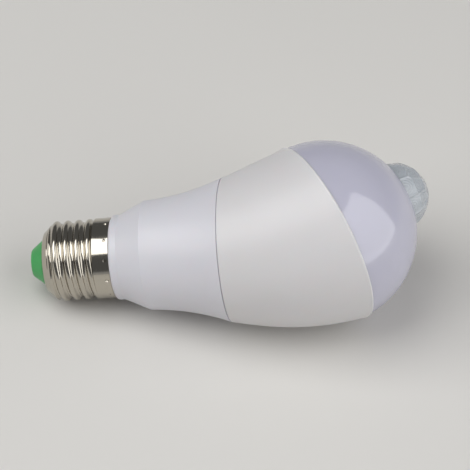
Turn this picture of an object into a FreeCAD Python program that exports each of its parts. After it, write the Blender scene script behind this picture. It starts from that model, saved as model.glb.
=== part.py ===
# A lamp with a screw cap, an oblique round head and a movement sensor in the pole of its dome.
# It lies on its side, as it rests on a table: the cap points to -X, +Z is up.
# The neck pieces are drawn in a frame whose Z runs along the cap axis, from the centre contact.
# The head pieces are drawn in a second frame, tilted against the first, whose Z runs along the dome axis.
import FreeCAD, Part
import math
import os
import Sketcher

V = FreeCAD.Vector
Turn = FreeCAD.Rotation
Place = FreeCAD.Placement

# Sizes in millimetres and degrees. Heights are measured along the axis of the piece's own frame.
SIZES = {
    # how the lamp lies
    "rest_climb_angle": 11.65,
    "rest_yaw_angle": -0.6,
    "rest_roll_angle": 90.0,
    "rest_x": -63.21,
    "rest_y": -5.15,
    "rest_z": 10.797,
    # tilt of the head, and where the dome's centre lies over the cap
    "head_tilt_angle": 31.5,
    "head_x": 4.43,
    "head_z": 95.9,
    "head_centre": 30.0,
    # small gaps between pieces that are pressed, glued or laid together
    "press_gap": 0.05,
    "seat_gap": 0.02,
    "slide_gap": 0.1,
    # centre contact
    "contact_low": 0.28,
    "contact_bevel": 0.17,
    "contact_face": 1.6,
    "contact_radius": 2.4,
    "rivet_radius": 1.45,
    "rivet_flare": 2.3,
    "rivet_seat": 6.0,
    "rivet_tail": 0.6,
    # tip insulator
    "tip_face_radius": 4.35,
    "tip_bevel": 0.35,
    "tip_inset": 0.3,
    "tip_plug_long": 1.35,
    "tip_recess_radius": 6.5,
    # cap shell, a sheet with a curled lower edge
    "sheet": 0.5,
    "mouth_step": 2.3,
    "shell_start": 4.4,
    "curl_step": 1.5,
    "curl_rise": 0.8,
    "curl_lift": 0.4,
    "curl_inset": 0.25,
    "shoulder_step": 0.6,
    "shoulder_rise": 1.7,
    "shoulder_lift": 0.25,
    "shoulder_inset": 0.4,
    "thread_deep": 1.1,
    "root_rise": 1.5,
    "root_lift": 0.2,
    "skirt_radius": 13.1,
    "skirt_slope": 0.8,
    "skirt_long": 5.3,
    "collar_face": 27.4,
    "over": 1.0,
    # screw thread, rolled into the sheet
    "thread_pitch": 3.629,
    "thread_start": 3.321,
    "thread_tail": 1.95,
    "ridge_sink": 0.3,
    "ridge_foot_rise": 0.1,
    "ridge_flank_rise": 0.575,
    "runout_skin": 0.06,
    "runout_rise": 2.0,
    "runout_reach": 14.5,
    # staking dimples
    "dimple_angle": 17.0,
    "dimple_count": 12,
    "dimple_back": 1.2,
    "dimple_radius": 0.66,
    "dimple_floor": 0.2,
    "dimple_deep": 0.33,
    "dimple_over": 0.12,
    # neck housing
    "neck_wall": 1.5,
    "spigot_low": 14.0,
    "spigot_gap": 0.15,
    "spigot_step": 0.7,
    "spigot_wall": 1.45,
    "collar_lip": 0.7,
    "collar_round": 1.2,
    "collar_long": 2.7,
    "corner_radius": 17.75,
    "cone_long": 10.9,
    "flare_arc": 79.8,
    "seam_radius": 23.4,
    "seam_z": 64.7,
    "seam_wide": 0.35,
    "seam_deep": 0.4,
    "rabbet_gap": 0.1,
    "rabbet_wall": 1.3,
    "rabbet_long": 2.9,
    "rail_long": 19.0,
    "rail_wide": 10.0,
    "rail_thick": 1.2,
    "rail_grip": 1.0,
    # head sleeve, as circles that turn from the joint line to the rim
    "sleeve_wall": 1.5,
    "mouth_radius": 23.5,
    "ring_b_radius": 25.62,
    "ring_b_x": -0.23,
    "ring_b_z": 72.8,
    "ring_b_angle": 9.6,
    "ring_c_radius": 27.68,
    "ring_c_x": 0.57,
    "ring_c_z": 81.1,
    "ring_c_angle": 17.4,
    "ring_d_radius": 29.17,
    "ring_d_x": 2.13,
    "ring_d_z": 89.0,
    "ring_d_angle": 24.6,
    "rim_lip": 0.7,
    "rim_z": 30.4,
    "rim_bevel": 0.4,
    "bevel_over": 1.0,
    "bore_step": 1.95,
    "bore_low": 24.9,
    "bore_high": 8.0,
    "ledge_thick": 1.5,
    "ledge_wide": 2.8,
    "ledge_outer": 42.0,
    # diffuser dome
    "dome_radius": 29.95,
    "dome_wall": 1.5,
    "spigot_chamfer": 2.2,
    "dome_spigot_wall": 1.15,
    "dome_spigot_long": 3.5,
    "dome_foot_in": 0.25,
    # sensor lens
    "lens_radius": 11.3,
    "lens_wall": 0.9,
    "lens_gap": 0.15,
    "lens_flange": 1.0,
    "lens_flange_radius": 13.0,
    "lens_rise": 2.05,
    "lens_skirt": 1.25,
    "facet_sink": 0.17,
    "facet_pole_sink": 0.24,
    "facet_pole_radius": 15.0,
    "facet_low": -6.0,
    "facet_tip": 0.3,
    "facet_one_angle": 33.0,
    "facet_one_count": 8,
    "facet_two_angle": 57.0,
    "facet_two_count": 14,
    "facet_three_angle": 80.0,
    "facet_three_count": 18,
    # heat sink cup
    "sink_hole": 5.0,
    "sink_thick": 1.2,
    "sink_gap": 0.6,
    "sink_deep": 6.4,
    # light board, its chips and screws
    "board_inset": 2.2,
    "board_thick": 1.2,
    "chip_count": 18,
    "chip_inset": 3.0,
    "chip_long": 3.5,
    "chip_wide": 2.8,
    "chip_high": 0.75,
    "screw_count": 3,
    "screw_ring": 8.2,
    "screw_angle": 0.0,
    "screw_head": 2.2,
    "screw_head_high": 1.5,
    "screw_shank": 1.25,
    "screw_past": 1.4,
    "screw_gap": 0.15,
    "screw_slot": 0.7,
    "screw_slot_deep": 0.6,
    # sensor stand, board and sensor
    "stand_foot_wide": 1.3,
    "stand_foot_high": 1.2,
    "stand_radius": 12.9,
    "stand_wall": 1.2,
    "stand_ledge": 1.4,
    "stand_ledge_high": 1.2,
    "sensor_board_drop": 6.25,
    "sensor_board_thick": 1.0,
    "can_flange": 4.6,
    "can_flange_high": 0.5,
    "can_radius": 4.1,
    "can_high": 4.2,
    "can_wall": 0.3,
    "window_long": 4.0,
    "window_wide": 3.0,
    "window_lap": 0.4,
    "window_thick": 0.4,
    "header_thick": 0.9,
    "leg_radius": 0.23,
    "leg_ring": 2.54,
    "leg_long": 4.0,
    "leg_up": 0.6,
    "cell_radius": 1.5,
    "cell_high": 1.6,
    "cell_x": 7.6,
    "mcu_long": 5.0,
    "mcu_wide": 4.0,
    "mcu_high": 1.5,
    "mcu_y": 6.0,
    "sensor_wire_radius": 0.5,
    "sensor_wire_x": 6.5,
    "sensor_wire_y": 2.0,
    # driver board
    "driver_low": 12.0,
    "driver_tongue_gap": 1.9,
    "driver_inset": 2.65,
    "driver_drop": 3.3,
    "driver_end": 61.0,
    "driver_lap": 1.0,
    "driver_thick": 1.6,
    "driver_mid": 2.3,
    # parts on the driver board
    "part_gap": 1.2,
    "film_long": 11.0,
    "film_wide": 7.5,
    "film_high": 5.2,
    "film_up": 0.6,
    "input_radius": 5.0,
    "input_long": 16.0,
    "input_up": 2.2,
    "bobbin_gap": 0.6,
    "bobbin_up": 3.2,
    "winding_radius": 5.0,
    "winding_long": 7.6,
    "core_long": 11.6,
    "core_wide": 2.4,
    "core_high": 13.0,
    "output_radius": 3.15,
    "output_long": 11.0,
    "output_x": 4.0,
    "output_up": 5.0,
    "fuse_radius": 1.9,
    "fuse_long": 9.0,
    "fuse_x": 4.5,
    "fuse_up": 4.0,
    "bridge_long": 5.0,
    "bridge_wide": 2.5,
    "bridge_high": 4.4,
    "bridge_up": 3.5,
    "driver_chip_long": 4.0,
    "driver_chip_wide": 1.6,
    "driver_chip_high": 5.0,
    "driver_chip_up": 14.0,
    # wires
    "wire_radius": 0.7,
    "wire_bow": 13.0,
    "wire_x": 2.5,
    "wire_gap": 0.04,
    "tip_wire_x": 4.0,
    "tip_wire_bow": 2.6,
    "shell_wire_z": 11.2,
    "shell_wire_x": 5.0,
    "shell_wire_run": 3.0,
}

# What follows from the sizes: a sum of them, or the height of a ball (its radius) over a chord (its half width).
FITS = {
    # contact and tip
    "contact_seat": "contact_low + contact_bevel",
    "rivet_end": "rivet_seat + rivet_tail",
    "tip_hole": "rivet_radius + press_gap",
    "tip_radius": "tip_face_radius + tip_bevel",
    "tip_edge": "contact_seat + tip_bevel",
    "tip_base_radius": "shell_mouth - slide_gap",
    "tip_base": "shell_start - press_gap",
    "tip_neck": "shell_mouth_in + press_gap",
    "tip_shoulder_radius": "curl_in - tip_inset",
    "tip_shoulder": "curl_in_z + seat_gap",
    "tip_plug_radius": "shoulder_in - tip_inset",
    "tip_plug": "shoulder_in_z + seat_gap",
    "tip_plug_end": "tip_plug + tip_plug_long",
    # shell and thread
    "root_radius": "skirt_radius - thread_deep",
    "shoulder_radius": "root_radius - shoulder_step",
    "curl_radius": "shoulder_radius - curl_step",
    "shell_mouth": "curl_radius - mouth_step",
    "curl_z": "shell_start + curl_rise",
    "shoulder_z": "curl_z + shoulder_rise",
    "root_start": "shoulder_z + root_rise",
    "skirt_start": "collar_face - skirt_long",
    "root_end": "skirt_start - skirt_slope",
    "shell_mouth_in": "shell_start + sheet",
    "curl_in": "curl_radius - curl_inset",
    "curl_in_z": "curl_z + curl_lift",
    "shoulder_in": "shoulder_radius - shoulder_inset",
    "shoulder_in_z": "shoulder_z + shoulder_lift",
    "root_in": "root_radius - sheet",
    "root_in_z": "root_start + root_lift",
    "root_in_end": "root_end + root_lift",
    "skirt_in": "skirt_radius - sheet",
    "skirt_in_z": "skirt_start + root_lift",
    "below": "shell_start - over",
    "above": "collar_face + over",
    "ridge_base": "root_radius - ridge_sink",
    "ridge_foot": "root_radius + ridge_foot_rise",
    "ridge_mid": "root_radius + ridge_flank_rise",
    "ridge_low_mid": "thread_start + 0.224*thread_pitch",
    "ridge_high_mid": "thread_start + 0.724*thread_pitch",
    "ridge_high": "thread_start + 0.948*thread_pitch",
    "ridge_arc": "0.2957*thread_pitch",
    "thread_rise": "skirt_start - thread_start - thread_tail",
    "runout_curl": "curl_radius + runout_skin",
    "runout_shoulder": "shoulder_radius + runout_skin",
    "runout_end": "shoulder_z + runout_rise",
    "runout_mouth": "shell_start - runout_skin",
    "runout_low": "thread_start - over",
    "dimple_z": "collar_face - dimple_back",
    "dimple_reach": "skirt_radius - dimple_deep",
    "dimple_long": "dimple_deep + dimple_over",
    # neck housing
    "collar_radius": "skirt_radius + collar_lip",
    "spigot_radius": "root_in - spigot_gap",
    "spigot_start": "spigot_low",
    "spigot_wide": "skirt_in - slide_gap",
    "spigot_wide_z": "skirt_in_z + spigot_step",
    "spigot_in": "spigot_radius - spigot_wall",
    "spigot_in_z": "root_in_end - spigot_step",
    "collar_flat": "collar_radius - collar_round",
    "collar_round_z": "collar_face + collar_round",
    "collar_top": "collar_face + collar_long",
    "collar_in": "collar_radius - neck_wall",
    "collar_in_z": "collar_top + 0.4*neck_wall",
    "neck_in": "spigot_wide - neck_wall",
    "neck_in_z": "collar_in_z - neck_wall - collar_round",
    "neck_in_low": "skirt_in_z",
    "corner_z": "collar_face + cone_long",
    "corner_in": "corner_radius - neck_wall",
    "corner_in_z": "corner_z + 0.4*neck_wall",
    "flare_arc_in": "flare_arc + neck_wall",
    "seam_low": "seam_z - seam_wide",
    "seam_floor": "seam_radius - seam_deep",
    "flare_in": "seam_radius - 1.52*neck_wall",
    "flare_in_z": "seam_low - 1.2*neck_wall",
    "rabbet_radius": "mouth_radius - sleeve_wall - rabbet_gap",
    "rabbet_top": "seam_z + rabbet_long",
    "rabbet_in": "rabbet_radius - rabbet_wall",
    "rabbet_in_z": "seam_z - neck_wall",
    "rail_start": "corner_z + 1.8*neck_wall",
    "rail_small": "corner_in + 0.6*neck_wall",
    "rail_large": "flare_in",
    "rail_gap": "driver_half - rail_grip",
    # sleeve
    "rim_radius": "dome_radius + rim_lip",
    "bore_radius": "dome_radius - bore_step",
    "ledge_radius": "bore_radius - ledge_wide",
    "ledge_low": "bore_low - ledge_thick",
    "ledge_high": "bore_high + ledge_thick",
    "bevel_in": "rim_radius - rim_bevel - press_gap",
    "bevel_out": "rim_radius + bevel_over",
    "bevel_z": "rim_z + press_gap",
    "bevel_low": "rim_z - rim_bevel - bevel_over",
    # dome
    "rim_rise": "rim_z - head_centre",
    "dome_foot": ("dome_radius", "rim_rise"),
    "dome_hole": "lens_radius + lens_gap",
    "dome_hole_rise": ("dome_radius", "dome_hole"),
    "dome_hole_z": "head_centre + dome_hole_rise",
    "dome_in": "dome_radius - dome_wall",
    "dome_hole_in_rise": ("dome_in", "dome_hole"),
    "dome_hole_in_z": "head_centre + dome_hole_in_rise",
    "dome_in_foot": "dome_in - dome_foot_in",
    "dome_in_foot_rise": ("dome_in", "dome_in_foot"),
    "dome_in_foot_z": "head_centre + dome_in_foot_rise",
    "dome_spigot": "bore_radius - press_gap",
    "dome_spigot_in": "dome_spigot - dome_spigot_wall",
    "dome_spigot_in_z": "dome_in_foot_z - spigot_chamfer",
    "dome_spigot_z": "rim_z - dome_spigot_long",
    # lens
    "flange_rise": ("dome_in", "lens_flange_radius"),
    "lens_flange_z": "head_centre + flange_rise - press_gap - lens_flange",
    "lens_centre": "lens_flange_z + lens_rise",
    "lens_top": "lens_centre + lens_radius",
    "lens_in": "lens_radius - lens_wall",
    "lens_in_top": "lens_centre + lens_in",
    "lens_low": "lens_flange_z - lens_skirt",
    "facet_reach": "lens_radius - facet_sink",
    "facet_pole": "lens_centre + lens_radius - facet_pole_sink",
    # heat sink, light board, chips and screws
    "sink_top": "bore_low + sink_thick",
    "sink_radius": "bore_radius - sink_gap",
    "sink_wall_out": "ledge_radius - 0.5*ledge_thick",
    "sink_wall_in": "sink_wall_out - sink_thick",
    "sink_low": "bore_low - sink_deep",
    "board_radius": "sink_radius - board_inset",
    "board_top": "sink_top + board_thick",
    "chip_ring": "board_radius - chip_inset",
    "screw_low": "bore_low - screw_past",
    "screw_long": "board_top - screw_low",
    "screw_hole": "screw_shank + screw_gap",
    "screw_slot_long": "2*screw_head",
    "screw_slot_z": "board_top + screw_head_high",
    "screw_slot_high": "2*screw_slot_deep",
    # stand, sensor board and sensor
    "sensor_board_z": "lens_flange_z - sensor_board_drop",
    "stand_foot": "stand_radius + stand_foot_wide",
    "stand_foot_top": "board_top + stand_foot_high",
    "stand_in": "stand_radius - stand_wall",
    "stand_ledge_in": "stand_in - stand_ledge",
    "stand_ledge_z": "sensor_board_z - stand_ledge_high",
    "stand_ledge_low": "stand_ledge_z - stand_ledge",
    "sensor_board_radius": "stand_in - slide_gap",
    "sensor_board_top": "sensor_board_z + sensor_board_thick",
    "can_flange_z": "sensor_board_top + can_flange_high",
    "can_top": "sensor_board_top + can_high",
    "can_in": "can_radius - can_wall",
    "can_in_top": "can_top - can_wall",
    "can_cut": "4*can_wall",
    "window_plate_long": "window_long + 2*window_lap",
    "window_plate_wide": "window_wide + 2*window_lap",
    "window_z": "can_in_top - 0.5*window_thick",
    "header_radius": "can_in - seat_gap",
    "leg_hole": "leg_radius + press_gap",
    "leg_z": "sensor_board_top + leg_up - leg_long",
    "mcu_z": "sensor_board_z - 0.5*mcu_high",
    "sensor_wire_long": "sensor_board_z - board_top",
    # driver board and what it carries
    "driver_start": "corner_z - driver_drop",
    "driver_half": "corner_radius - neck_wall - driver_inset",
    "driver_wide": "2*driver_half",
    "driver_tongue_wide": "2*spigot_in - 2*driver_tongue_gap",
    "driver_long": "driver_end - driver_start",
    "driver_wide_mid": "driver_start + 0.5*driver_long",
    "driver_tongue_long": "driver_start + driver_lap - driver_low",
    "driver_tongue_mid": "driver_low + 0.5*driver_tongue_long",
    "driver_face": "driver_mid - 0.5*driver_thick",
    "driver_back": "driver_mid + 0.5*driver_thick",
    "film_y": "driver_face - 0.5*film_wide",
    "film_z": "driver_start + film_up + 0.5*film_high",
    "input_x": "- part_gap - input_radius",
    "input_y": "driver_face - seat_gap - input_radius",
    "input_z": "film_z + 0.5*film_high + input_up",
    "bobbin_x": "bobbin_gap + 0.5*core_long",
    "bobbin_z": "film_z + 0.5*film_high + bobbin_up + 0.5*core_high",
    "core_a_y": "driver_face - 0.5*core_wide",
    "core_b_y": "core_a_y - winding_long",
    "output_y": "driver_face - seat_gap - output_radius",
    "output_z": "driver_low + output_up",
    "fuse_left": "- fuse_x",
    "fuse_y": "driver_face - seat_gap - fuse_radius",
    "fuse_z": "driver_low + fuse_up",
    "bridge_y": "driver_back + 0.5*bridge_wide",
    "bridge_z": "driver_start + bridge_up",
    "driver_chip_y": "driver_back + 0.5*driver_chip_wide",
    "driver_chip_z": "driver_start + driver_chip_up",
    "shell_wire_reach": "root_in - wire_gap",
}

doc = FreeCAD.newDocument("lamp")
sheet = doc.addObject("Spreadsheet::Sheet", "Sizes")
for row, (cell, number) in enumerate(SIZES.items(), start=1):
    sheet.set("A%d" % row, cell)
    sheet.set("B%d" % row, str(number))
    sheet.setAlias("B%d" % row, cell)
doc.recompute()


def amount(term):
    """The number behind a term: a size, a fit, or a sum of them with factors."""
    if isinstance(term, tuple):
        return math.sqrt(max(amount(term[0]) ** 2 - amount(term[1]) ** 2, 0.0))
    total, sign = 0.0, 1.0
    for word in term.split():
        if word in ("+", "-"):
            sign = 1.0 if word == "+" else -1.0
            continue
        factor, _, name = word.rpartition("*")
        if name in FITS:
            value = amount(FITS[name])
        else:
            value = 0.0 if name == "axis" else float(sheet.get(name))
        total += sign * float(factor or 1) * value
    return total


def words(term):
    """The same as an expression that stays bound to the cells."""
    if isinstance(term, tuple):
        return "sqrt(pow(%s; 2) - pow(%s; 2))" % (words(term[0]), words(term[1]))
    said = []
    for word in term.split():
        factor, star, name = word.rpartition("*")
        if word in ("+", "-"):
            said.append(word)
        elif name in FITS:
            said.append(factor + star + "(" + words(FITS[name]) + ")")
        else:
            said.append("0" if name == "axis" else factor + star + "Sizes." + name)
    return " ".join(said)


def bind(thing, cells):
    for field, cell in cells.items():
        thing.setExpression(field, words(cell))
    return thing


def locate(thing, spot):
    """Ties the place of a drawn solid to cells, one for each axis."""
    thing.Placement.Base = V(*[amount(term) for term in spot])
    for axis, term in zip("xyz", spot):
        if term != "axis":
            thing.setExpression("Placement.Base." + axis, words(term))
    return thing


def rod(name, radius, height, spot=("axis", "axis", "axis")):
    thing = bind(doc.addObject("Part::Cylinder", name), {"Radius": radius, "Height": height})
    return locate(thing, spot)


def block(name, sides, middle):
    """A box of three cells, centred on a point of three cells."""
    thing = bind(doc.addObject("Part::Box", name), dict(zip(("Length", "Width", "Height"), sides)))
    thing.Placement.Base = V(*[amount(m) - amount(s) / 2 for m, s in zip(middle, sides)])
    for axis, term, side in zip("xyz", middle, sides):
        thing.setExpression("Placement.Base." + axis, "%s - (%s) / 2" % (words(term), words(side)))
    return thing


def group(kind, name, items):
    thing = doc.addObject("Part::" + kind, name)
    if kind == "Compound":
        thing.Links = items
    else:
        thing.Shapes = items
    return thing


def cut(name, base, tool):
    thing = doc.addObject("Part::Cut", name)
    thing.Base = base
    thing.Tool = tool
    return thing


def ring_of(name, item, count, first=0.0):
    """Copies of one drawn solid around the axis of its frame, as one group."""
    copies = []
    for number in range(int(count)):
        copy = doc.addObject("Part::Compound", name + "_%d" % number)
        copy.Links = [item]
        copy.Placement = Place(V(), Turn(V(0, 0, 1), first + 360.0 / count * number))
        copies.append(copy)
    return group("Compound", name, copies)


def outline(body, name, points, bends):
    """A closed sketch through points of two cells; a bend turns the run after that point into an arc."""
    sketch = body.newObject("Sketcher::SketchObject", name)
    plane = [item for item in body.Origin.OriginFeatures if item.Role == "XZ_Plane"][0]
    sketch.AttachmentSupport = [(plane, "")]
    sketch.MapMode = "FlatFace"
    spots = [V(amount(x), amount(z), 0) for x, z in points]
    starts = []
    for number, spot in enumerate(spots):
        after = spots[(number + 1) % len(spots)]
        if number not in bends:
            sketch.addGeometry(Part.LineSegment(spot, after), False)
            starts.append((1, 2))
            continue
        radius, side = amount(bends[number][0]), bends[number][1]
        run = after.sub(spot)
        away = math.sqrt(max(radius**2 - (run.Length / 2) ** 2, 0.0))
        normal = V(-run.y, run.x, 0).normalize()
        centre = spot.add(after).multiply(0.5).add(normal.multiply(side * away))
        first = math.atan2(spot.y - centre.y, spot.x - centre.x)
        last = math.atan2(after.y - centre.y, after.x - centre.x)
        if side < 0:
            first, last = last, first
        if last < first:
            last += 2 * math.pi
        circle = Part.Circle(centre, V(0, 0, 1), radius)
        sketch.addGeometry(Part.ArcOfCircle(circle, first, last), False)
        starts.append((1, 2) if side > 0 else (2, 1))
    for number, (x, z) in enumerate(points):
        after = (number + 1) % len(points)
        sketch.addConstraint(Sketcher.Constraint("Coincident", number, starts[number][1], after, starts[after][0]))
        for kind, term in (("DistanceX", x), ("DistanceY", z)):
            if term == "axis":
                sketch.addConstraint(Sketcher.Constraint("PointOnObject", number, starts[number][0], -2))
                continue
            rule = Sketcher.Constraint(kind, -1, 1, number, starts[number][0], amount(term))
            index = sketch.addConstraint(rule)
            sketch.renameConstraint(index, "%s_%d" % (kind, number))
            sketch.setExpression("Constraints.%s_%d" % (kind, number), words(term))
        if number in bends:
            index = sketch.addConstraint(Sketcher.Constraint("Radius", number, amount(bends[number][0])))
            sketch.renameConstraint(index, "Bend_%d" % number)
            sketch.setExpression("Constraints.Bend_%d" % number, words(bends[number][0]))
    return sketch


def feature(body, kind, name, points, bends=None):
    """One turned feature of a body, or one wound along a screw line, from its own sketch."""
    sketch = outline(body, name + "_outline", points, bends or {})
    step = body.newObject("PartDesign::" + kind, name)
    step.Profile = sketch
    step.ReferenceAxis = (sketch, ["V_Axis"])
    if kind in ("Revolution", "Groove"):
        step.Angle = 360.0
    else:
        step.Mode = 0
        step.Angle = 0.0
    body.Tip = step
    return step


def turned(name, points, bends=None):
    body = doc.addObject("PartDesign::Body", name)
    feature(body, "Revolution", name + "_turned", points, bends)
    return body


def circle(name, radius, x, z, turn, thinner=None):
    """One ring of the sleeve, standing on the axis where the lamp bends."""
    thing = doc.addObject("Part::Circle", name)
    less = "" if thinner is None else " - Sizes." + thinner
    thing.Radius = amount(radius) - (0.0 if thinner is None else amount(thinner))
    thing.setExpression("Radius", words(radius) + less)
    thing.Placement = Place(V(amount(x), 0, amount(z)), Turn(V(0, 1, 0), amount(turn)))
    return thing


def lofted(name, rings, ruled=False):
    thing = doc.addObject("Part::Loft", name)
    thing.Sections = rings
    thing.Solid = True
    thing.Ruled = ruled
    return thing


def wire(name, poles, radius):
    """A round wire along a smooth line that leaves both its ends squarely."""
    line = Part.BezierCurve()
    line.setPoles(poles)
    path = doc.addObject("Part::Feature", name + "_path")
    path.Shape = Part.Wire(line.toShape())
    section = bind(doc.addObject("Part::Circle", name + "_section"), {"Radius": radius})
    section.Placement = Place(poles[0], Turn(V(0, 0, 1), poles[1].sub(poles[0])))
    sweep = doc.addObject("Part::Sweep", name)
    sweep.Sections = [section]
    sweep.Spine = (path, ["Edge1"])
    sweep.Solid = True
    sweep.Frenet = False
    return sweep


# How the lamp lies: the cap axis climbs and the head leans away, over the table
pitch = math.radians(amount("rest_climb_angle"))
yaw = math.radians(amount("rest_yaw_angle"))
roll = math.radians(amount("rest_roll_angle"))
along = V(math.cos(pitch) * math.cos(yaw), -math.cos(pitch) * math.sin(yaw), math.sin(pitch))
level = V(-along.y, along.x, 0).normalize()
upward = along.cross(level)
lean = V(upward).multiply(math.cos(roll)).add(V(level).multiply(math.sin(roll)))
NECK = Place(
    V(amount("rest_x"), amount("rest_y"), amount("rest_z")),
    Turn(lean, along.cross(lean), along, "ZXY"),
)
tilt = math.radians(amount("head_tilt_angle"))
dome_axis = V(math.sin(tilt), 0, math.cos(tilt))
head_middle = V(amount("head_x"), 0, amount("head_z"))
TILTED = Place(
    head_middle.sub(V(dome_axis).multiply(amount("head_centre"))),
    Turn(V(0, 1, 0), amount("head_tilt_angle")),
)
HEAD = NECK.multiply(TILTED)

PIECES = []


def piece(label, thing, frame):
    """Names a finished piece and gives it the place of its frame."""
    if thing.TypeId in ("Part::Box", "Part::Cylinder", "Part::Sweep"):
        thing = group("Compound", label + "_piece", [thing])
    thing.Label = label
    thing.Placement = frame
    PIECES.append(thing)
    return thing


# Centre contact: a low rivet whose tail is flared inside the insulator
piece("centre_contact", turned("contact", [
    ("axis", "contact_low"),
    ("contact_face", "contact_low"),
    ("contact_radius", "contact_seat"),
    ("rivet_radius", "contact_seat"),
    ("rivet_radius", "rivet_seat"),
    ("rivet_flare", "rivet_seat"),
    ("rivet_flare", "rivet_end"),
    ("axis", "rivet_end"),
]), NECK)

# Tip insulator: a moulded cone that the curled end of the shell grips
piece("tip_insulator", turned("tip", [
    ("tip_hole", "contact_seat"),
    ("tip_face_radius", "contact_seat"),
    ("tip_radius", "tip_edge"),
    ("tip_base_radius", "tip_base"),
    ("tip_base_radius", "tip_neck"),
    ("tip_shoulder_radius", "tip_shoulder"),
    ("tip_plug_radius", "tip_plug"),
    ("tip_plug_radius", "tip_plug_end"),
    ("tip_recess_radius", "tip_plug_end"),
    ("tip_recess_radius", "rivet_seat"),
    ("tip_hole", "rivet_seat"),
]), NECK)

# Cap shell: thin sheet with a rolled round thread, a plain skirt and staking dimples
shell = turned("shell", [
    ("axis", "shell_start"),
    ("shell_mouth", "shell_start"),
    ("curl_radius", "curl_z"),
    ("shoulder_radius", "shoulder_z"),
    ("root_radius", "root_start"),
    ("root_radius", "root_end"),
    ("skirt_radius", "skirt_start"),
    ("skirt_radius", "collar_face"),
    ("axis", "collar_face"),
])
ridge = feature(shell, "AdditiveHelix", "ridge", [
    ("ridge_base", "thread_start"),
    ("ridge_foot", "thread_start"),
    ("ridge_mid", "ridge_low_mid"),
    ("ridge_mid", "ridge_high_mid"),
    ("ridge_foot", "ridge_high"),
    ("ridge_base", "ridge_high"),
], {1: ("ridge_arc", -1), 2: ("ridge_arc", 1), 3: ("ridge_arc", -1)})
bind(ridge, {"Pitch": "thread_pitch", "Height": "thread_rise"})
feature(shell, "Groove", "runout", [
    ("shell_mouth", "runout_low"),
    ("runout_reach", "runout_low"),
    ("runout_reach", "runout_end"),
    ("skirt_radius", "runout_end"),
    ("runout_shoulder", "shoulder_z"),
    ("runout_curl", "curl_z"),
    ("shell_mouth", "runout_mouth"),
])
feature(shell, "Groove", "hollow", [
    ("axis", "below"),
    ("shell_mouth", "below"),
    ("shell_mouth", "shell_mouth_in"),
    ("curl_in", "curl_in_z"),
    ("shoulder_in", "shoulder_in_z"),
    ("root_in", "root_in_z"),
    ("root_in", "root_in_end"),
    ("skirt_in", "skirt_in_z"),
    ("skirt_in", "above"),
    ("axis", "above"),
])
dimple = bind(doc.addObject("Part::Cone", "dimple"), {
    "Radius1": "dimple_floor",
    "Radius2": "dimple_radius",
    "Height": "dimple_long",
})
dimple.Placement = Place(V(amount("dimple_reach"), 0, amount("dimple_z")), Turn(V(0, 1, 0), 90))
dimples = ring_of("dimples", dimple, amount("dimple_count"), amount("dimple_angle"))
piece("cap_shell", cut("staked_shell", shell, dimples), NECK)

# Neck housing: one moulding with a spigot in the shell, a collar, a cone, a flare, a rabbet and board rails
neck = turned("neck", [
    ("spigot_radius", "spigot_start"),
    ("spigot_radius", "root_in_end"),
    ("spigot_wide", "spigot_wide_z"),
    ("spigot_wide", "collar_face"),
    ("collar_flat", "collar_face"),
    ("collar_radius", "collar_round_z"),
    ("collar_radius", "collar_top"),
    ("corner_radius", "corner_z"),
    ("seam_radius", "seam_low"),
    ("seam_floor", "seam_low"),
    ("seam_floor", "seam_z"),
    ("rabbet_radius", "seam_z"),
    ("rabbet_radius", "rabbet_top"),
    ("rabbet_in", "rabbet_top"),
    ("rabbet_in", "rabbet_in_z"),
    ("flare_in", "flare_in_z"),
    ("corner_in", "corner_in_z"),
    ("collar_in", "collar_in_z"),
    ("neck_in", "neck_in_z"),
    ("neck_in", "neck_in_low"),
    ("spigot_in", "spigot_in_z"),
    ("spigot_in", "spigot_start"),
], {4: ("collar_round", 1), 7: ("flare_arc", -1), 15: ("flare_arc_in", 1)})
rails = []
for side in (1, -1):
    for label, edge in (("low", -1), ("high", 1)):
        rail = doc.addObject("Part::Box", "rail_%s_%d" % (label, side + 1))
        bind(rail, {"Length": "rail_wide", "Width": "rail_thick", "Height": "rail_long"})
        left = amount("rail_gap") if side > 0 else -amount("rail_gap") - amount("rail_wide")
        front = amount("driver_back") if edge > 0 else amount("driver_face") - amount("rail_thick")
        rail.Placement.Base = V(left, front, amount("rail_start"))
        rails.append(rail)
fill = bind(doc.addObject("Part::Cone", "rail_fill"), {
    "Radius1": "rail_small",
    "Radius2": "rail_large",
    "Height": "rail_long",
})
locate(fill, ("axis", "axis", "rail_start"))
held = [group("MultiCommon", "held_%d" % number, [rail, fill]) for number, rail in enumerate(rails)]
piece("neck_housing", group("MultiFuse", "railed_neck", [neck] + held), NECK)

# Head sleeve: rings turn step by step from the joint line to the oblique rim
rim_middle = head_middle.add(V(dome_axis).multiply(amount("rim_z") - amount("head_centre")))
walls = []
for layer, less in (("outer", None), ("inner", "sleeve_wall")):
    rings = [circle("ring_a_" + layer, "mouth_radius", "axis", "seam_z", "axis", less)]
    for letter in "bcd":
        start = "ring_%s_" % letter
        rings.append(circle(start + layer, start + "radius", start + "x", start + "z", start + "angle", less))
    rim = circle("ring_e_" + layer, "rim_radius", "axis", "seam_z", "head_tilt_angle", less)
    rim.Placement.Base = rim_middle
    rings.append(rim)
    walls.append(lofted("wall_" + layer, rings))
ledge = cut(
    "ledge_band",
    rod("ledge_disc", "ledge_outer", "ledge_high", ("axis", "axis", "ledge_low")),
    rod("ledge_opening", "ledge_radius", "ledge_high", ("axis", "axis", "ledge_low")),
)
ledge.Placement = TILTED
bore = group("Compound", "bore", [rod("bore_rod", "bore_radius", "bore_high", ("axis", "axis", "bore_low"))])
bore.Placement = TILTED
bevel = turned("bevel", [
    ("bevel_in", "bevel_z"),
    ("bevel_out", "bevel_low"),
    ("bevel_out", "bevel_z"),
])
bevel.Placement = TILTED
hollow = cut("sleeve_hollow", walls[1], ledge)
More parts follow.
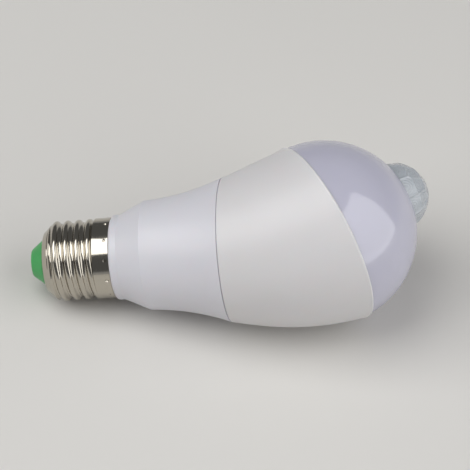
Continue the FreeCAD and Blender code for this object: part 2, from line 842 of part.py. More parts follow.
sleeve = cut("sleeve_bored", cut("sleeve_open", walls[0], hollow), bore)
piece("head_sleeve", cut("sleeve_bevelled", sleeve, bevel), NECK)

# Diffuser dome: a thin ball with a spigot in the sleeve and a round hole at its pole
piece("diffuser_dome", turned("dome", [
    ("dome_foot", "rim_z"),
    ("dome_hole", "dome_hole_z"),
    ("dome_hole", "dome_hole_in_z"),
    ("dome_in_foot", "dome_in_foot_z"),
    ("dome_spigot_in", "dome_spigot_in_z"),
    ("dome_spigot_in", "dome_spigot_z"),
    ("dome_spigot", "dome_spigot_z"),
    ("dome_spigot", "rim_z"),
], {0: ("dome_radius", 1), 2: ("dome_in", -1)}), HEAD)

# Sensor lens: a hollow ball cap cut by flat lens facets in three rings, with a flange under the dome
ball = turned("lens_ball", [
    ("axis", "lens_flange_z"),
    ("lens_radius", "lens_flange_z"),
    ("lens_radius", "lens_centre"),
    ("axis", "lens_top"),
], {2: ("lens_radius", 1)})
facets = [ball]
for label in ("facet_one", "facet_two", "facet_three"):
    sides = int(amount(label + "_count"))
    angle = math.radians(amount(label + "_angle"))
    reach = amount("facet_reach")
    low = amount("facet_low")
    high = (reach - amount("facet_tip") * math.sin(angle)) / math.cos(angle)
    ends = []
    for height in (low, high):
        polygon = doc.addObject("Part::RegularPolygon", "%s_%s" % (label, "low" if height == low else "high"))
        polygon.Polygon = sides
        spread = (reach - height * math.cos(angle)) / math.sin(angle)
        polygon.Circumradius = spread / math.cos(math.pi / sides)
        polygon.Placement.Base = V(0, 0, amount("lens_centre") + height)
        ends.append(polygon)
    facets.append(lofted(label + "_cone", ends, True))
facets.append(rod("facet_pole_rod", "facet_pole_radius", "facet_pole"))
cap = group("MultiCommon", "lens_facets", facets)
flange = rod("lens_flange_rod", "lens_flange_radius", "lens_flange", ("axis", "axis", "lens_flange_z"))
inside = turned("lens_inside", [
    ("axis", "lens_low"),
    ("lens_in", "lens_low"),
    ("lens_in", "lens_centre"),
    ("axis", "lens_in_top"),
], {2: ("lens_in", 1)})
piece("sensor_lens", cut("lens_hollow", group("MultiFuse", "lens_whole", [cap, flange]), inside), HEAD)

# Heat sink cup: a pressed pan on the ledge of the sleeve
pan = turned("pan", [
    ("sink_hole", "bore_low"),
    ("sink_wall_in", "bore_low"),
    ("sink_wall_in", "sink_low"),
    ("sink_wall_out", "sink_low"),
    ("sink_wall_out", "bore_low"),
    ("sink_radius", "bore_low"),
    ("sink_radius", "sink_top"),
    ("sink_hole", "sink_top"),
])
hole = rod("screw_hole_rod", "screw_hole", "screw_long", ("screw_ring", "axis", "screw_low"))
holes = ring_of("screw_holes", hole, amount("screw_count"), amount("screw_angle"))
piece("heat_sink_cup", cut("drilled_pan", pan, holes), HEAD)

# Light board with its ring of chips and its screws
plate = rod("light_plate", "board_radius", "board_thick", ("axis", "axis", "sink_top"))
piece("led_board", cut("drilled_plate", plate, holes), HEAD)
chip = bind(doc.addObject("Part::Box", "light_chip"), {
    "Length": "chip_long",
    "Width": "chip_wide",
    "Height": "chip_high",
})
chip.Placement.Base = V(amount("chip_ring") - amount("chip_long") / 2, -amount("chip_wide") / 2, amount("board_top"))
piece("led_chips", ring_of("light_chips", chip, amount("chip_count")), HEAD)
slot = block("slot", ("screw_slot", "screw_slot_long", "screw_slot_high"), ("screw_ring", "axis", "screw_slot_z"))
head = rod("screw_head_rod", "screw_head", "screw_head_high", ("screw_ring", "axis", "board_top"))
shank = rod("screw_shank_rod", "screw_shank", "screw_long", ("screw_ring", "axis", "screw_low"))
screw = cut("slotted_screw", group("MultiFuse", "screw", [head, shank]), slot)
piece("board_screws", ring_of("screws", screw, amount("screw_count"), amount("screw_angle")), HEAD)

# Sensor stand: a tube on the light board that carries the sensor board and holds the lens flange
piece("sensor_stand", turned("stand", [
    ("stand_in", "board_top"),
    ("stand_foot", "board_top"),
    ("stand_foot", "stand_foot_top"),
    ("stand_radius", "stand_foot_top"),
    ("stand_radius", "lens_flange_z"),
    ("stand_in", "lens_flange_z"),
    ("stand_in", "sensor_board_z"),
    ("stand_ledge_in", "sensor_board_z"),
    ("stand_ledge_in", "stand_ledge_z"),
    ("stand_in", "stand_ledge_low"),
]), HEAD)

# Sensor board with the sensor, its window and legs, the daylight cell and the small controller
disc = rod("sensor_disc", "sensor_board_radius", "sensor_board_thick", ("axis", "axis", "sensor_board_z"))
leg_hole = rod("leg_hole_rod", "leg_hole", "leg_long", ("leg_ring", "axis", "leg_z"))
piece("sensor_board", cut("drilled_disc", disc, ring_of("leg_holes", leg_hole, 3)), HEAD)
can = turned("can", [
    ("can_in", "sensor_board_top"),
    ("can_flange", "sensor_board_top"),
    ("can_flange", "can_flange_z"),
    ("can_radius", "can_flange_z"),
    ("can_radius", "can_top"),
    ("axis", "can_top"),
    ("axis", "can_in_top"),
    ("can_in", "can_in_top"),
])
opening = block("can_opening", ("window_long", "window_wide", "can_cut"), ("axis", "axis", "can_top"))
piece("pir_can", cut("windowed_can", can, opening), HEAD)
window = block("window", ("window_plate_long", "window_plate_wide", "window_thick"), ("axis", "axis", "window_z"))
piece("pir_window", window, HEAD)
header = rod("header_disc", "header_radius", "header_thick", ("axis", "axis", "sensor_board_top"))
leg = rod("leg_rod", "leg_radius", "leg_long", ("leg_ring", "axis", "leg_z"))
piece("pir_header", group("MultiFuse", "header", [header, ring_of("legs", leg, 3)]), HEAD)
cell_rod = rod("cell_rod", "cell_radius", "cell_high", ("cell_x", "axis", "sensor_board_top"))
piece("light_cell", cell_rod, HEAD)
mcu = block("mcu", ("mcu_long", "mcu_wide", "mcu_high"), ("axis", "mcu_y", "mcu_z"))
piece("sensor_chip", mcu, HEAD)
sensor_wires = []
for number, shift in enumerate((-1, 0, 1)):
    lead = rod("sensor_wire_%d" % number, "sensor_wire_radius", "sensor_wire_long")
    lead.Placement.Base = V(-amount("sensor_wire_x"), shift * amount("sensor_wire_y"), amount("board_top"))
    sensor_wires.append(lead)
piece("sensor_wires", group("Compound", "sensor_leads", sensor_wires), HEAD)

# Driver board: a narrow tongue in the cap and a wide part between the rails
tongue = block("tongue", ("driver_tongue_wide", "driver_thick", "driver_tongue_long"),
               ("axis", "driver_mid", "driver_tongue_mid"))
wide = block("wide", ("driver_wide", "driver_thick", "driver_long"), ("axis", "driver_mid", "driver_wide_mid"))
piece("driver_board", group("MultiFuse", "board", [tongue, wide]), NECK)

# Parts of the driver
piece("input_capacitor", rod("input", "input_radius", "input_long", ("input_x", "input_y", "input_z")), NECK)
winding = rod("winding", "winding_radius", "winding_long", ("bobbin_x", "core_b_y", "bobbin_z"))
winding.Placement.Rotation = Turn(V(1, 0, 0), -90)
core_a = block("core_a", ("core_long", "core_wide", "core_high"), ("bobbin_x", "core_a_y", "bobbin_z"))
core_b = block("core_b", ("core_long", "core_wide", "core_high"), ("bobbin_x", "core_b_y", "bobbin_z"))
piece("driver_inductor", group("MultiFuse", "inductor", [winding, core_a, core_b]), NECK)
film = block("film", ("film_long", "film_wide", "film_high"), ("axis", "film_y", "film_z"))
piece("film_capacitor", film, NECK)
piece("output_capacitor", rod("output", "output_radius", "output_long", ("output_x", "output_y", "output_z")), NECK)
ends = rod("fuse_ends", "fuse_radius", "fuse_long", ("fuse_left", "fuse_y", "fuse_z"))
piece("fuse_resistor", ends, NECK)
bridge = block("bridge", ("bridge_long", "bridge_wide", "bridge_high"), ("axis", "bridge_y", "bridge_z"))
piece("bridge_rectifier", bridge, NECK)
control = block("control", ("driver_chip_long", "driver_chip_wide", "driver_chip_high"),
                ("axis", "driver_chip_y", "driver_chip_z"))
piece("driver_chip", control, NECK)

# Wires: from the contact and the shell to the tongue, and from the wide end to the light board
back = amount("driver_mid")
edge_z = amount("driver_low")
bow = amount("tip_wire_bow")
piece("live_wire", wire("live", [
    V(0, 0, amount("rivet_end")),
    V(0, 0, amount("rivet_end") + bow),
    V(-amount("tip_wire_x"), back, edge_z - bow),
    V(-amount("tip_wire_x"), back, edge_z),
], "wire_radius"), NECK)
piece("neutral_wire", wire("neutral", [
    V(amount("shell_wire_reach"), 0, amount("shell_wire_z")),
    V(amount("shell_wire_reach") - amount("shell_wire_run"), 0, amount("shell_wire_z")),
    V(amount("shell_wire_x"), back, edge_z - bow),
    V(amount("shell_wire_x"), back, edge_z),
], "wire_radius"), NECK)
pair = []
for number, side in enumerate((-1, 1)):
    across = side * amount("wire_x")
    far = TILTED.multVec(V(across, back, amount("sink_top")))
    start = V(across, back, amount("driver_end"))
    pair.append(wire("light_wire_%d" % number, [
        start,
        start.add(V(0, 0, amount("wire_bow"))),
        far.sub(V(dome_axis).multiply(amount("wire_bow"))),
        far,
    ], "wire_radius"))
piece("led_wires", group("Compound", "light_wires", pair), NECK)

doc.recompute()
faults = [thing.Name for thing in doc.Objects if "Invalid" in thing.State or "Error" in thing.State]
for thing in PIECES:
    if thing.Shape.isNull() or not thing.Shape.isValid():
        faults.append(thing.Label)
if faults:
    raise SystemExit("not valid: " + ", ".join(faults))
os.makedirs("parts", exist_ok=True)
for thing in PIECES:
    thing.Shape.exportStep("parts/" + thing.Label + ".step")
    box = thing.Shape.BoundBox
    print(thing.Label, len(thing.Shape.Solids), round(thing.Shape.Volume, 1), [
        round(number, 2) for number in (box.XMin, box.XMax, box.YMin, box.YMax, box.ZMin, box.ZMax)])
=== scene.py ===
# %% [markdown]
# # A movement sensor lamp, dressed over its frame
# The lamp is already drawn to size. It lies on its side: the screw cap points to -X, the head to +X, and +Z
# is up. This lesson gives every piece the finish of the real one, adds the small detail that solids leave out,
# and sets up a plain studio around it. Blender works in metres, and sizes that are read off the lamp are in mm.

import math

import bmesh
import bpy
from mathutils import Matrix, Vector


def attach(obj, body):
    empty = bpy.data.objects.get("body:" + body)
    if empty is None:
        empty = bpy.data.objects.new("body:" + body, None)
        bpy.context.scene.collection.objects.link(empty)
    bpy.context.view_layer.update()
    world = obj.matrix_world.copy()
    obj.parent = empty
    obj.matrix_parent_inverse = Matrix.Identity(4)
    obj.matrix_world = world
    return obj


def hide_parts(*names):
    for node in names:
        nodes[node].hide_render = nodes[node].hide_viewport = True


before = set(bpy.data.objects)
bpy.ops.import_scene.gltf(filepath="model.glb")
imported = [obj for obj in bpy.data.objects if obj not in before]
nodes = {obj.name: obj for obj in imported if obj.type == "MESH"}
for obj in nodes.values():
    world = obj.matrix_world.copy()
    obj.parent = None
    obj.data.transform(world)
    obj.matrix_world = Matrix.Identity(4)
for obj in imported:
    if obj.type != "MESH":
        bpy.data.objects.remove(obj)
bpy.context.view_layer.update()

# %% [markdown]
# The cap and neck are round about one axis, and the head about a second one, tilted against the first.
# A grain or a row of details has to follow those axes, so both are written here once, as matrices that take
# a point from the piece's own frame to the room. The origin of the neck frame is the centre contact, and its
# Z runs to the head.

# %% The two frames of the lamp
MM = 0.001
PITCH, YAW, ROLL = (math.radians(angle) for angle in (11.65, -0.6, 90.0))
TILT = math.radians(31.5)
CAP_END = Vector((-63.21, -5.15, 10.797)) * MM
HEAD_MIDDLE = Vector((4.43, 0.0, 95.9)) * MM
HEAD_CENTRE = 30.0 * MM

along = Vector((math.cos(PITCH) * math.cos(YAW), -math.cos(PITCH) * math.sin(YAW), math.sin(PITCH)))
level = Vector((-along.y, along.x, 0.0)).normalized()
upward = along.cross(level)
lean = upward * math.cos(ROLL) + level * math.sin(ROLL)
NECK = Matrix((lean, along.cross(lean), along)).transposed().to_4x4()
NECK.translation = CAP_END
head_turn = Matrix.Rotation(TILT, 4, "Y")
dome_axis = head_turn @ Vector((0, 0, 1))
HEAD = NECK @ Matrix.Translation(HEAD_MIDDLE - dome_axis * HEAD_CENTRE) @ head_turn
pole = HEAD @ Vector((0, 0, 2 * HEAD_CENTRE))
print("pole of the dome, in mm:", [round(value * 1000, 1) for value in pole])

# %% [markdown]
# Colours are picked as sRGB hex values, as on a colour chart, and the shader wants linear light, so one
# function turns them. One more function adds a shader node with its settings and its links, which keeps each
# material readable.

# %% Colour and node helpers


def linear(chart):
    """A hex colour from a chart as linear RGBA."""
    parts = [int(chart[start:start + 2], 16) / 255 for start in (1, 3, 5)]
    return [part / 12.92 if part <= 0.04045 else ((part + 0.055) / 1.055) ** 2.4 for part in parts] + [1.0]


def add(tree, kind, settings=None, links=None):
    """Adds one node, sets its sockets or properties by name, and joins what feeds it."""
    node = tree.nodes.new(kind)
    for name, value in (settings or {}).items():
        if name in node.inputs:
            node.inputs[name].default_value = value
        else:
            setattr(node, name, value)
    for name, source in (links or {}).items():
        tree.links.new(source, node.inputs[name])
    return node


def finish_named(name, settings):
    """A material with one Principled shader, with its node tree and that shader."""
    material = bpy.data.materials.new(name)
    material.use_nodes = True
    tree = material.node_tree
    tree.nodes.clear()
    shader = add(tree, "ShaderNodeBsdfPrincipled", settings)
    add(tree, "ShaderNodeOutputMaterial", links={"Surface": shader.outputs["BSDF"]})
    return material, tree, shader


def own_point(tree, frame_matrix):
    """The shaded point in a piece's own frame, in metres."""
    room = add(tree, "ShaderNodeTexCoord")
    place = add(tree, "ShaderNodeMapping", {
        "vector_type": "TEXTURE",
        "Location": frame_matrix.translation,
        "Rotation": frame_matrix.to_euler("XYZ"),
    }, {"Vector": room.outputs["Object"]})
    return place.outputs["Vector"]


def cloud_colour(tree, shader, point, tones, width, detail):
    """Feeds the shader's colour with slow clouds, this wide in mm, between two tones."""
    clouds = add(tree, "ShaderNodeTexNoise", {"Scale": 1 / (width * MM), "Detail": detail}, {"Vector": point})
    mix = add(tree, "ShaderNodeMix", {"data_type": "RGBA"}, {"Factor": clouds.outputs["Fac"]})
    mix.inputs[6].default_value, mix.inputs[7].default_value = (linear(tone) for tone in tones)
    tree.links.new(mix.outputs[2], shader.inputs["Base Color"])


def dress(name, material):
    """Gives a carried-over solid its finish."""
    node = nodes[name]
    node.data.materials.clear()
    node.data.materials.append(material)


print("white on the chart is", [round(part, 3) for part in linear("#FFFFFF")])

# %% [markdown]
# ## Moulded plastic
# Neck, sleeve and tip are injection moulded. The mould is spark eroded, which leaves a fine grain of about
# 0.2 mm, and the flow of the melt leaves slow, faint clouds of tone. The grain is drawn at 0.5 mm, because a
# finer one would not show, as a bump of a few microns. The clouds are 18 mm wide and shift the colour by two
# to three percent on the chart.

# %% Moulded plastic
GRAIN_DETAIL, GRAIN_ROUGHNESS, GRAIN_STRENGTH = 4.0, 0.6, 0.35


def moulded(name, tones, settings, grain=0.5, depth=0.012, cloud=18.0, frame_matrix=NECK):
    """Plastic with an eroded grain and its depth, and slow clouds between two tones. Sizes are in mm."""
    material, tree, shader = finish_named(name, settings)
    point = own_point(tree, frame_matrix)
    cloud_colour(tree, shader, point, tones, cloud, 3.0)
    pits = add(tree, "ShaderNodeTexNoise", {
        "Scale": 1 / (grain * MM), "Detail": GRAIN_DETAIL, "Roughness": GRAIN_ROUGHNESS,
    }, {"Vector": point})
    bump = add(tree, "ShaderNodeBump", {"Strength": GRAIN_STRENGTH, "Distance": depth * MM},
               {"Height": pits.outputs["Fac"]})
    tree.links.new(bump.outputs["Normal"], shader.inputs["Normal"])
    return material


neck_plastic = moulded("satin_polycarbonate_cool_white", ("#DAD9DF", "#D5D4DA"), {
    "Roughness": 0.42, "IOR": 1.58, "Subsurface Weight": 0.08, "Subsurface Scale": 0.001})
sleeve_plastic = moulded("satin_polycarbonate_warm_white", ("#DBD9DA", "#D6D4D5"), {
    "Roughness": 0.40, "IOR": 1.58, "Subsurface Weight": 0.08, "Subsurface Scale": 0.001})
tip_plastic = moulded("satin_nylon_green", ("#45A75C", "#3B9A51"), {
    "Roughness": 0.38, "IOR": 1.53}, grain=0.4, cloud=5.0)
dress("neck_housing", neck_plastic)
dress("head_sleeve", sleeve_plastic)
dress("tip_insulator", tip_plastic)
print("moulded:", neck_plastic.name, sleeve_plastic.name, tip_plastic.name)

# %% [markdown]
# ## Nickel plated brass
# The screw cap is brass sheet, drawn and rolled, then plated with bright nickel. Nickel is a slightly warm
# mirror. The rolls leave hair lines that run round the cap, so the noise is stretched: slow across the axis
# and 0.25 mm along it.

# %% Nickel plated brass
LINES_ACROSS = 120.0  # waves in a metre across the axis, so one is about 8 mm long
LINE_SPACING, LINE_HEIGHT, LINE_STRENGTH = 0.25, 0.004, 0.2


def rolled_metal(name, chart, smooth, rough):
    """A bright metal whose fine lines run round the cap, with a roughness that wanders between two values."""
    material, tree, shader = finish_named(name, {"Metallic": 1.0, "Base Color": linear(chart)})
    stretch = add(tree, "ShaderNodeVectorMath", {"operation": "MULTIPLY"}, {0: own_point(tree, NECK)})
    stretch.inputs[1].default_value = (LINES_ACROSS, LINES_ACROSS, 1 / (LINE_SPACING * MM))
    lines = add(tree, "ShaderNodeTexNoise", {"Scale": 1.0, "Detail": 2.0}, {"Vector": stretch.outputs["Vector"]})
    blur = add(tree, "ShaderNodeMapRange", {"To Min": smooth, "To Max": rough}, {"Value": lines.outputs["Fac"]})
    tree.links.new(blur.outputs["Result"], shader.inputs["Roughness"])
    bump = add(tree, "ShaderNodeBump", {"Strength": LINE_STRENGTH, "Distance": LINE_HEIGHT * MM},
               {"Height": lines.outputs["Fac"]})
    tree.links.new(bump.outputs["Normal"], shader.inputs["Normal"])
    return material


cap_nickel = rolled_metal("bright_nickel_on_rolled_brass", "#BDB7AB", 0.07, 0.16)
contact_metal = rolled_metal("tinned_brass_rivet", "#C9C5BB", 0.22, 0.36)
dress("cap_shell", cap_nickel)
dress("centre_contact", contact_metal)
print("plated:", cap_nickel.name, contact_metal.name)

# %% [markdown]
# ## Opal polycarbonate
# The diffuser is blown or moulded from polycarbonate filled with a white scatterer. Light goes in, wanders a
# few millimetres and comes out again, so the dome has a soft tone without grain, under a glossy skin that
# mirrors the lamps. Subsurface scattering gives the wandering, and a low roughness gives the skin.

# %% The dome
dome_plastic, dome_tree, dome_shader = finish_named("opal_polycarbonate", {
    "Roughness": 0.13, "IOR": 1.58, "Specular IOR Level": 0.8,
    "Subsurface Weight": 0.35, "Subsurface Scale": 0.003, "Subsurface Radius": (1.0, 1.0, 1.2),
})
cloud_colour(dome_tree, dome_shader, own_point(dome_tree, HEAD), ("#C0BFCF", "#BCBBCB"), 25.0, 2.0)
dress("diffuser_dome", dome_plastic)
print("dome:", dome_plastic.name)

# %% [markdown]
# ## Frosted polyethylene
# The sensor lens is moulded from thin polyethylene, which lets body heat through. It is a milky, cool grey,
# its skin is waxy, and the green board behind it shows as a shade. Part of the light therefore passes,
# blurred, through the wall, and the rest wanders inside it.

# %% The lens material
lens_plastic = moulded("frosted_polyethylene", ("#CDD2D8", "#BFC6CD"), {
    "Roughness": 0.24, "IOR": 1.51, "Transmission Weight": 0.25,
    "Subsurface Weight": 0.3, "Subsurface Scale": 0.0003, "Subsurface Radius": (0.9, 1.0, 1.0),
    "Coat Weight": 1.0, "Coat Roughness": 0.12, "Coat IOR": 1.5,
}, grain=0.6, depth=0.02, cloud=6.0, frame_matrix=HEAD)
print("lens material:", lens_plastic.name)

# %% [markdown]
# The wall is a field of small lenses, each dished a third of a millimetre into the ball and bounded by a crisp
# ridge. Large ones stand in a row along the rim and smaller ones fill the top, so the borders of the large
# ones are arcs. For each point of the ball the nearest lens is found with a reach of its own, and the ridge
# runs where two are equally near. Each small lens is cut in rings, as a flat lens is, about 0.3 mm apart. They
# are drawn 0.9 mm apart, because finer ones would not show. A dense mesh holds ridges better than a bump map,
# because they also show in the outline.

# %% The field of small lenses
LENS_CENTRE, LENS_RADIUS, LENS_INSIDE = 56.306, 11.2, 10.4
LENS_FLANGE_RADIUS, LENS_FLANGE_LOW, LENS_FLANGE_TOP = 13.0, 54.256, 55.256
DISH_DEPTH, RIDGE_WIDTH = 0.34, 0.40
STEP_PITCH, STEP_DEPTH = 0.9, 0.05
# for each row of small lenses: its angle from the pole, how many there are, and how far each one reaches
LENS_ROWS = [(0.0, 1, 1.0), (27.0, 6, 1.0), (50.0, 11, 1.0), (79.0, 10, 1.45)]


def on_ball(from_pole, round_axis):
    """A direction from the ball's centre."""
    return Vector((math.sin(from_pole) * math.cos(round_axis), math.sin(from_pole) * math.sin(round_axis),
                   math.cos(from_pole)))


small_lenses = []
for row, (from_pole, count, reach) in enumerate(LENS_ROWS):
    for step in range(count):
        turn = math.tau * (step + 0.5 * (row % 2)) / count
        small_lenses.append((on_ball(math.radians(from_pole), turn), reach))


def dish(direction):
    """How far the outer skin lies below the ball, in mm."""
    apart = sorted((direction.angle(middle) / reach, reach) for middle, reach in small_lenses)
    (nearest, reach), (second, _) = apart[:2]
    inward = (second - nearest) * LENS_RADIUS
    steps = math.cos(math.tau * nearest * reach * LENS_RADIUS / STEP_PITCH)
    return (DISH_DEPTH + STEP_DEPTH * steps) * (1 - math.exp(-inward / RIDGE_WIDTH))


print("small lenses:", len(small_lenses))

# %% [markdown]
# Both new pieces are closed meshes made of rings. The points are given in mm in the piece's own frame, and the
# faces are shaded smooth.

# %% From points to a piece


def level_ring(radius, height, turns):
    """Points on a level circle, in mm."""
    return [Vector((radius * math.cos(turn), radius * math.sin(turn), height)) for turn in turns]


def as_piece(name, mesh):
    """Turns an edited mesh into a smooth piece of the scene."""
    for face in mesh.faces:
        face.smooth = True
    data = bpy.data.meshes.new(name)
    mesh.to_mesh(data)
    mesh.free()
    piece = bpy.data.objects.new(name, data)
    bpy.context.scene.collection.objects.link(piece)
    return piece


print("helpers for the pieces are ready")

# %% The lens
ROUND_STEPS, POLE_STEPS, INSIDE_STEPS = 360, 100, 20


def lens_rings():
    """Rings of points from the outer pole down the skin, round the flange and up inside to the inner pole."""
    turns = [math.tau * step / ROUND_STEPS for step in range(ROUND_STEPS)]
    centre = Vector((0, 0, LENS_CENTRE))
    rings = []
    for step in range(1, POLE_STEPS + 1):
        directions = [on_ball(math.pi / 2 * step / POLE_STEPS, turn) for turn in turns]
        rings.append([direction * (LENS_RADIUS - dish(direction)) + centre for direction in directions])
    edges = [(LENS_RADIUS, LENS_FLANGE_TOP), (LENS_FLANGE_RADIUS, LENS_FLANGE_TOP),
             (LENS_FLANGE_RADIUS, LENS_FLANGE_LOW), (LENS_INSIDE, LENS_FLANGE_LOW), (LENS_INSIDE, LENS_CENTRE)]
    rings += [level_ring(radius, height, turns) for radius, height in edges]
    for step in range(INSIDE_STEPS - 1, 0, -1):
        from_pole = math.pi / 2 * step / INSIDE_STEPS
        rings.append([on_ball(from_pole, turn) * LENS_INSIDE + centre for turn in turns])
    return rings


def skin(name, rings, first, last, place):
    """A closed piece over rings of equal length, ended by a point at each side."""
    mesh = bmesh.new()
    rows = [[mesh.verts.new(place @ (point * MM)) for point in ring] for ring in rings]
    for upper, lower in zip(rows, rows[1:]):
        for step in range(len(upper)):
            after = (step + 1) % len(upper)
            mesh.faces.new((upper[step], lower[step], lower[after], upper[after]))
    for ring, point, turned_in in ((rows[0], first, True), (rows[-1], last, False)):
        end = mesh.verts.new(place @ (Vector(point) * MM))
        for step in range(len(ring)):
            after = (step + 1) % len(ring)
            corners = (end, ring[step], ring[after]) if turned_in else (end, ring[after], ring[step])
            mesh.faces.new(corners)
    return as_piece(name, mesh)


outer_pole = (0, 0, LENS_CENTRE + LENS_RADIUS - DISH_DEPTH)
inner_pole = (0, 0, LENS_CENTRE + LENS_INSIDE)
lens = skin("frosted_sensor_lens", lens_rings(), outer_pole, inner_pole, HEAD)
lens.data.materials.append(lens_plastic)
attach(lens, "root")
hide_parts("sensor_lens")
print("lens faces:", len(lens.data.polygons))

# %% [markdown]
# ## The lip of the sleeve
# The mould of the sleeve opens at its oblique front edge. The edge there is rounded and comes out smoother
# than the eroded walls, and its tone is painted paler than the sleeve's, a painted highlight, so it shows as a
# fine bright line beside the dome. A revolved section does it: a round whose root lies in the wall.

# %% The lip
RIM_RADIUS, RIM_HEIGHT, LIP_ROUND = 30.56, 30.40, 0.55
LIP_FROM, LIP_STEP, LIP_POINTS = -20, 11, 11  # the round starts at this angle, and a point follows each step
LIP_ROUND_STEPS = 240
# the paler tones are a painted highlight: the sleeve's own plastic, painted lighter to show as a bright line
lip_plastic_painted_highlight = moulded("smooth_polycarbonate_painted_highlight_white", ("#E4E2E3", "#E0DEDF"), {
    "Roughness": 0.22, "IOR": 1.58, "Specular IOR Level": 0.8}, grain=2.0, depth=0.004, frame_matrix=HEAD)


def lip_section():
    """Radius and height of the section's points: its root, then round the outer edge to the front."""
    radius, height = RIM_RADIUS - LIP_ROUND, RIM_HEIGHT - LIP_ROUND
    section = [(radius, height - LIP_ROUND)]
    for step in range(LIP_POINTS):
        turn = math.radians(LIP_FROM + LIP_STEP * step)
        section.append((radius + LIP_ROUND * math.cos(turn), height + LIP_ROUND * math.sin(turn)))
    return section


def revolved(name, section, place):
    """A closed ring, swept round the frame's Z from a closed section."""
    mesh = bmesh.new()
    rows = []
    for step in range(LIP_ROUND_STEPS):
        turn = math.tau * step / LIP_ROUND_STEPS
        points = [level_ring(radius, height, [turn])[0] for radius, height in section]
        rows.append([mesh.verts.new(place @ (point * MM)) for point in points])
    for step, this in enumerate(rows):
        after = rows[(step + 1) % len(rows)]
        for corner in range(len(section)):
            beside = (corner + 1) % len(section)
            mesh.faces.new((this[corner], after[corner], after[beside], this[beside]))
    return as_piece(name, mesh)


lip = revolved("sleeve_front_lip", lip_section(), HEAD)
lip.data.materials.append(lip_plastic_painted_highlight)
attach(lip, "root")
print("lip faces:", len(lip.data.polygons))

# %% [markdown]
# ## The works inside
# Hardly anything of the driver, the light board or the sensor shows while the lamp is shut, but each piece
# still gets the finish of the real one, so that the lamp can be opened up in a drawing.

# %% Finishes of the works
METAL = {"Metallic": 1.0}
works = {
    "pressed_aluminium": ("#D6D7D9", "#C9CACC", dict(METAL, Roughness=0.38), ["heat_sink_cup"]),
    "white_solder_mask_on_aluminium": ("#EFEFEA", "#E6E6E0", {"Roughness": 0.35}, ["led_board"]),
    "phosphor_in_silicone": ("#EAD76A", "#DDC657", {"Roughness": 0.3}, ["led_chips"]),
    "zinc_plated_steel": ("#BFC2C6", "#AEB1B5", dict(METAL, Roughness=0.3), ["board_screws"]),
    "natural_white_nylon": ("#E4E3DC", "#DAD9D1", {"Roughness": 0.5}, ["sensor_stand"]),
    "green_solder_mask_on_glass_epoxy": ("#1F6B3A", "#195C31", {"Roughness": 0.3},
                                         ["sensor_board", "driver_board"]),
    "tinned_steel_can": ("#C6C6C2", "#B8B8B4", dict(METAL, Roughness=0.25), ["pir_can"]),
    "infrared_window": ("#2A2026", "#1F181D", {"Roughness": 0.08}, ["pir_window"]),
    "gold_flashed_header": ("#C9A24A", "#BC9440", dict(METAL, Roughness=0.25), ["pir_header"]),
    "photocell_ceramic": ("#C98A5B", "#B87949", {"Roughness": 0.6}, ["light_cell"]),
    "black_epoxy": ("#1B1B1C", "#151516", {"Roughness": 0.55},
                    ["sensor_chip", "driver_chip", "bridge_rectifier"]),
    "black_vinyl": ("#19191A", "#131314", {"Roughness": 0.45}, ["sensor_wires", "neutral_wire"]),
    "red_vinyl": ("#A3211D", "#931B18", {"Roughness": 0.45}, ["live_wire", "led_wires"]),
    "shrunk_sleeve": ("#1C2433", "#161D2A", {"Roughness": 0.25}, ["input_capacitor", "output_capacitor"]),
    "grey_ferrite": ("#3C3D40", "#323336", {"Roughness": 0.7}, ["driver_inductor"]),
    "yellow_dipped_film": ("#E0A21E", "#D39617", {"Roughness": 0.3}, ["film_capacitor"]),
    "green_flameproof_lacquer": ("#5E8A62", "#547E58", {"Roughness": 0.5}, ["fuse_resistor"]),
}
for name, (light, dark, settings, pieces) in works.items():
    material = moulded(name, (light, dark), settings, grain=0.3, cloud=4.0)
    for piece in pieces:
        dress(piece, material)
print("finishes of the works:", len(works))

# %% [markdown]
# ## Studio
# The floor is a wide pale sheet. The sky is grey, and paler in a low band at the horizon than overhead: the
# dark part keeps the contrast in the metal, and the pale band fills the shadows.

# %% Floor and sky
FLOOR_HALF = 2.0
HORIZON_STRENGTH, CEILING_STRENGTH = 0.50, 0.14
BAND_LOW, BAND_HIGH = 0.02, 0.15  # where the change of strength starts and ends, as the sine of the height
floor_corners = [(-FLOOR_HALF, -FLOOR_HALF, 0), (FLOOR_HALF, -FLOOR_HALF, 0),
                 (FLOOR_HALF, FLOOR_HALF, 0), (-FLOOR_HALF, FLOOR_HALF, 0)]
floor_mesh = bpy.data.meshes.new("floor_mesh")
floor_mesh.from_pydata(floor_corners, [], [(0, 1, 2, 3)])
floor = bpy.data.objects.new("studio_floor", floor_mesh)
bpy.context.scene.collection.objects.link(floor)
paper = finish_named("pale_studio_paper", {"Base Color": linear("#D8D6D2"), "Roughness": 0.85})[0]
floor.data.materials.append(paper)

sky = bpy.data.worlds.new("studio_sky")
bpy.context.scene.world = sky
sky.use_nodes = True
air = sky.node_tree
air.nodes.clear()
toward = add(air, "ShaderNodeTexCoord")
height = add(air, "ShaderNodeSeparateXYZ", links={"Vector": toward.outputs["Generated"]})
falloff = add(air, "ShaderNodeMapRange", {
    "interpolation_type": "SMOOTHSTEP", "From Min": BAND_LOW, "From Max": BAND_HIGH,
    "To Min": HORIZON_STRENGTH, "To Max": CEILING_STRENGTH,
}, {"Value": height.outputs["Z"]})
fill = add(air, "ShaderNodeBackground", {"Color": linear("#E6E8EC")}, {"Strength": falloff.outputs["Result"]})
add(air, "ShaderNodeOutputWorld", links={"Surface": fill.outputs["Background"]})
print("sky strength from horizon to ceiling:", HORIZON_STRENGTH, CEILING_STRENGTH)

# %% [markdown]
# Two large soft boxes stand where their mirror images lie on the dome and on the cap: one to the right, and a
# long one above the cap, which draws the bright bands along the screw thread.

# %% Lamps
LOOK_AT = Vector((0.0, 0.0, 0.03))


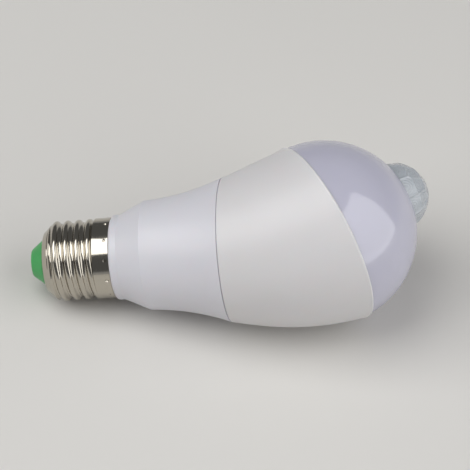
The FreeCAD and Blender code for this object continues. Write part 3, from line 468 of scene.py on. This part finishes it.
def soft_lamp(name, toward, distance, wide, high, roll, watts):
    """A soft box that looks at the lamp from one direction, turned by roll degrees about its line of sight."""
    light = bpy.data.lights.new(name, "AREA")
    light.shape = "RECTANGLE"
    light.size = wide
    light.size_y = high
    light.energy = watts
    holder = bpy.data.objects.new(name, light)
    holder.location = LOOK_AT + Vector(toward).normalized() * distance
    aim = (holder.location - LOOK_AT).to_track_quat("Z", "Y").to_matrix()
    holder.rotation_euler = (aim @ Matrix.Rotation(math.radians(roll), 3, "Z")).to_euler()
    bpy.context.scene.collection.objects.link(holder)


soft_lamp("right_soft_box", (0.81, -0.276, 0.528), 0.9, 1.06, 1.22, 6.0, 6.4)
soft_lamp("top_soft_box", (-0.55, -0.16, 0.82), 1.0, 0.83, 1.35, 0.0, 9.0)
print("lamps:", [item.name for item in bpy.data.lights])

# %% [markdown]
# ## Camera
# The camera looks down at the lamp from the front with a long lens, turned a little about its line of sight.
# Its place was worked out from the lamp's shape, so it is given as a direction, a distance and a roll.

# %% Camera
VIEW_AZIMUTH, VIEW_ELEVATION, VIEW_ROLL = (math.radians(angle) for angle in (0.4967, 47.4172, 4.0526))
VIEW_DISTANCE = 1.17053
VIEW_AIM = Vector((1.8805, 6.6269, 18.9931)) * MM
SENSOR_WIDTH, FOCAL_LENGTH = 36.0, 274.72
FAR_CLIP = 20.0
forward = Vector((-math.sin(VIEW_AZIMUTH) * math.cos(VIEW_ELEVATION),
                  math.cos(VIEW_AZIMUTH) * math.cos(VIEW_ELEVATION), -math.sin(VIEW_ELEVATION)))
flat_right = forward.cross(Vector((0, 0, 1))).normalized()
flat_up = flat_right.cross(forward)
right = flat_right * math.cos(VIEW_ROLL) + flat_up * math.sin(VIEW_ROLL)
camera_data = bpy.data.cameras.new("studio_camera")
camera_data.sensor_width = SENSOR_WIDTH
camera_data.lens = FOCAL_LENGTH
camera_data.clip_end = FAR_CLIP
camera = bpy.data.objects.new("studio_camera", camera_data)
view_turn = Matrix((right, right.cross(forward), -forward)).transposed().to_4x4()
camera.matrix_world = Matrix.Translation(VIEW_AIM - forward * VIEW_DISTANCE) @ view_turn
bpy.context.scene.collection.objects.link(camera)
bpy.context.scene.camera = camera
bpy.context.scene.view_settings.view_transform = "Standard"
print("camera at", [round(value, 4) for value in camera.matrix_world.translation])
